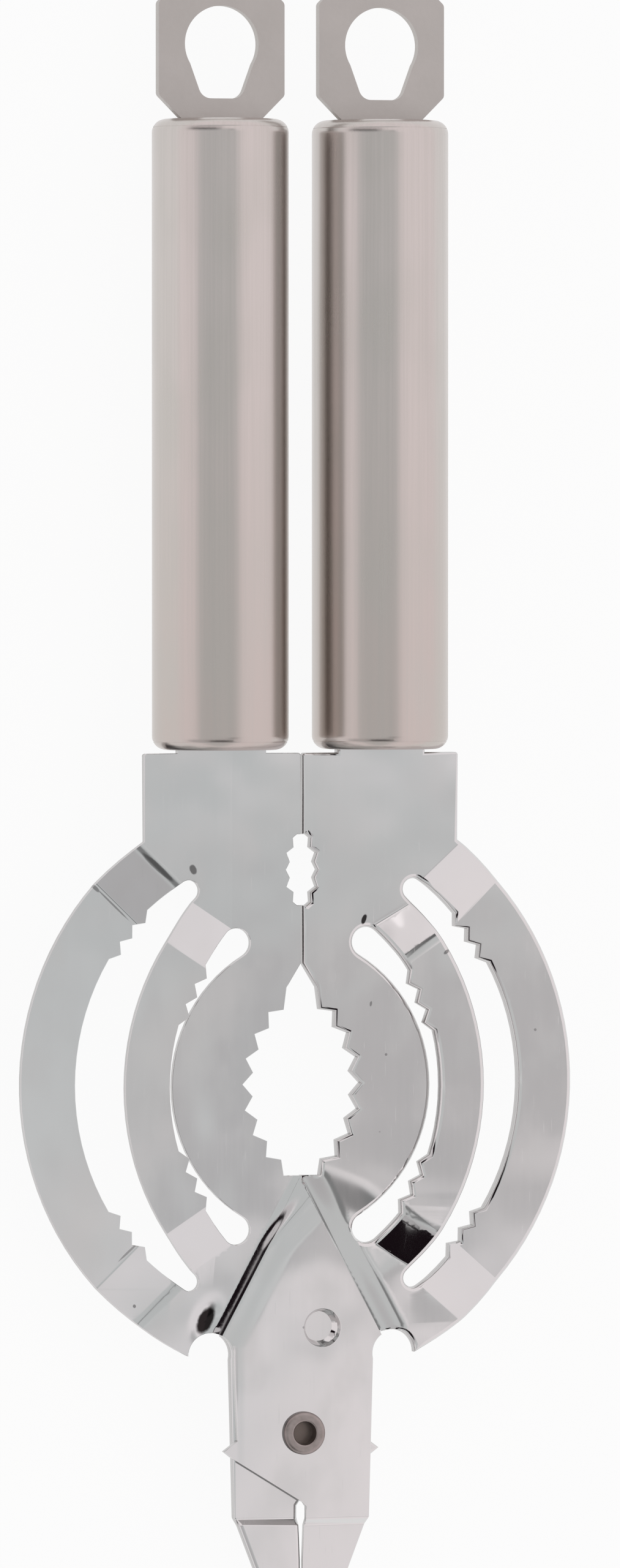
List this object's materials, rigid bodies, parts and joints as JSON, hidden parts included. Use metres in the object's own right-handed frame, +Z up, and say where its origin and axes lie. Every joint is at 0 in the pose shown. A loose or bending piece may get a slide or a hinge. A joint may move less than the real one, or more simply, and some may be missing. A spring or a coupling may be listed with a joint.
{
  "type": "jar and bottle opener pliers",
  "caption": "Riveted plier-type jar and bottle opener with stepped toothed rings, a tapered tip and two tubular handles with hanging eyes.",
  "frame": {"origin": "under the middle of the whole tool, at the height of the handles' lowest line, as it lies on a table", "axes": "+Z up along the rivet axis, front face up; +Y from the tips to the hanging eyes; +X to the side of the rear half's handle"},
  "size_m": [0.0798, 0.2338, 0.019],
  "materials": {
    "plated_steel": "bright nickel plated",
    "satin_steel": "satin brushed along the tube",
    "tab_steel": "tumbled matt",
    "rivet_steel": "bare steel, darkened",
    "plug_plastic": "moulded, natural"
  },
  "bodies": {
    "front_half": {"left_jaw_plate": "plated_steel", "pivot_rivet": "rivet_steel", "left_handle_tube": "satin_steel", "left_lower_end_cap": "satin_steel", "left_upper_end_cap": "satin_steel", "left_lower_tang_plug": "plug_plastic", "left_upper_tang_plug": "plug_plastic", "left_lower_tang_pin": "rivet_steel", "left_upper_tang_pin": "rivet_steel", "left_hanging_tab": "tab_steel"},
    "rear_half": {"right_jaw_plate": "plated_steel", "right_handle_tube": "satin_steel", "right_lower_end_cap": "satin_steel", "right_upper_end_cap": "satin_steel", "right_lower_tang_plug": "plug_plastic", "right_upper_tang_plug": "plug_plastic", "right_lower_tang_pin": "rivet_steel", "right_upper_tang_pin": "rivet_steel", "right_hanging_tab": "tab_steel"}
  },
  "joints": [
    {"name": "jaw_pivot", "type": "hinge", "parent": "front_half", "child": "rear_half", "pos_m": [0, -0.08495, 0.0095], "axis": [0, 0, -1], "range_deg": [0, 30]}
  ]
}
